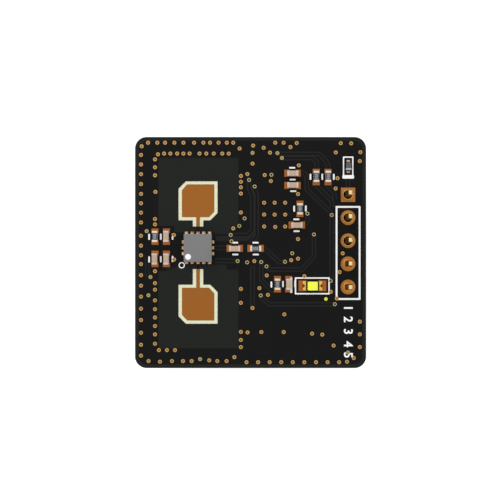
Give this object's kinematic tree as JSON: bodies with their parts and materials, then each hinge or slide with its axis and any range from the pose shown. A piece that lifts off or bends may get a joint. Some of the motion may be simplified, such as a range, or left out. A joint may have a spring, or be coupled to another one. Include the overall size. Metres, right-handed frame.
{
  "type": "microwave radar sensor module",
  "caption": "Square black circuit board that senses motion by microwave radar, with two copper patch antennas, a radar chip, small chip parts and a row of gold header pins.",
  "frame": {"origin": "centre of the board in plan, at the level of the tips of the header's long pin ends", "axes": "+Z out of the board's front, the way the antennas look; +Y along the header towards its square land; +X from the antennas towards the header"},
  "size_m": [0.02, 0.02, 0.0088],
  "materials": {
    "laminate": "bare woven glass laminate, cream",
    "solder_mask": "black solder mask, satin",
    "antenna_copper": "bare copper, slightly dulled",
    "land_copper": "bare copper with a protective coat",
    "via_gold": "plated ring of a through hole",
    "via_covered": "plated hole under a thin coat of mask, olive",
    "print_white": "white legend ink",
    "print_yellow": "yellow marking ink",
    "header_copper": "copper land and hole wall with a gold rim",
    "solder": "solder, satin",
    "header_plastic": "black moulded plastic",
    "pin_gold": "gold plated pin",
    "capacitor_ceramic": "tan ceramic",
    "resistor_coat": "dark blue grey coat",
    "end_cap_tin": "tin plated, matte",
    "chip_plastic": "grey moulding compound",
    "terminal_tin": "tin plated terminal",
    "led_base": "dark olive substrate",
    "led_gold": "gold plated terminal",
    "led_lens": "clear yellow resin",
    "diode_plastic": "grey moulding compound",
    "crystal_ceramic": "dark ceramic",
    "crystal_lid": "plated metal lid",
    "regulator_plastic": "black moulding compound"
  },
  "bodies": {
    "root": {"back_capacitor_end_caps": "end_cap_tin", "back_component_lands": "land_copper", "back_mask": "solder_mask", "capacitor_1": "capacitor_ceramic", "capacitor_10": "capacitor_ceramic", "capacitor_11": "capacitor_ceramic", "capacitor_12": "capacitor_ceramic", "capacitor_2": "capacitor_ceramic", "capacitor_3": "capacitor_ceramic", "capacitor_4": "capacitor_ceramic", "capacitor_5": "capacitor_ceramic", "capacitor_6": "capacitor_ceramic", "capacitor_7": "capacitor_ceramic", "capacitor_8": "capacitor_ceramic", "capacitor_9": "capacitor_ceramic", "capacitor_end_caps": "end_cap_tin", "chip_index_dot": "print_white", "component_lands": "land_copper", "crystal_base": "crystal_ceramic", "crystal_lid": "crystal_lid", "diode_band": "print_white", "diode_body": "diode_plastic", "diode_feet": "terminal_tin", "front_mask": "solder_mask", "ground_vias": "via_gold", "header_housing": "header_plastic", "header_pin_1": "pin_gold", "header_pin_2": "pin_gold", "header_pin_3": "pin_gold", "header_pin_4": "pin_gold", "header_pin_5": "pin_gold", "header_solder": "solder", "laminate_core": "laminate", "led_base": "led_base", "led_lens": "led_lens", "led_terminals": "led_gold", "lower_antenna": "antenna_copper", "microcontroller": "chip_plastic", "microcontroller_terminals": "terminal_tin", "polarity_dot": "print_yellow", "printed_frames": "print_white", "printed_ticks": "print_white", "radar_chip": "chip_plastic", "radar_chip_terminals": "terminal_tin", "regulator_body": "regulator_plastic", "regulator_leads": "terminal_tin", "resistor_1": "resistor_coat", "resistor_2": "resistor_coat", "resistor_3": "resistor_coat", "resistor_4": "resistor_coat", "resistor_5": "resistor_coat", "resistor_6": "resistor_coat", "resistor_end_caps": "end_cap_tin", "round_header_holes": "header_copper", "signal_vias": "via_covered", "square_header_hole": "header_copper", "upper_antenna": "antenna_copper"}
  },
  "joints": []
}
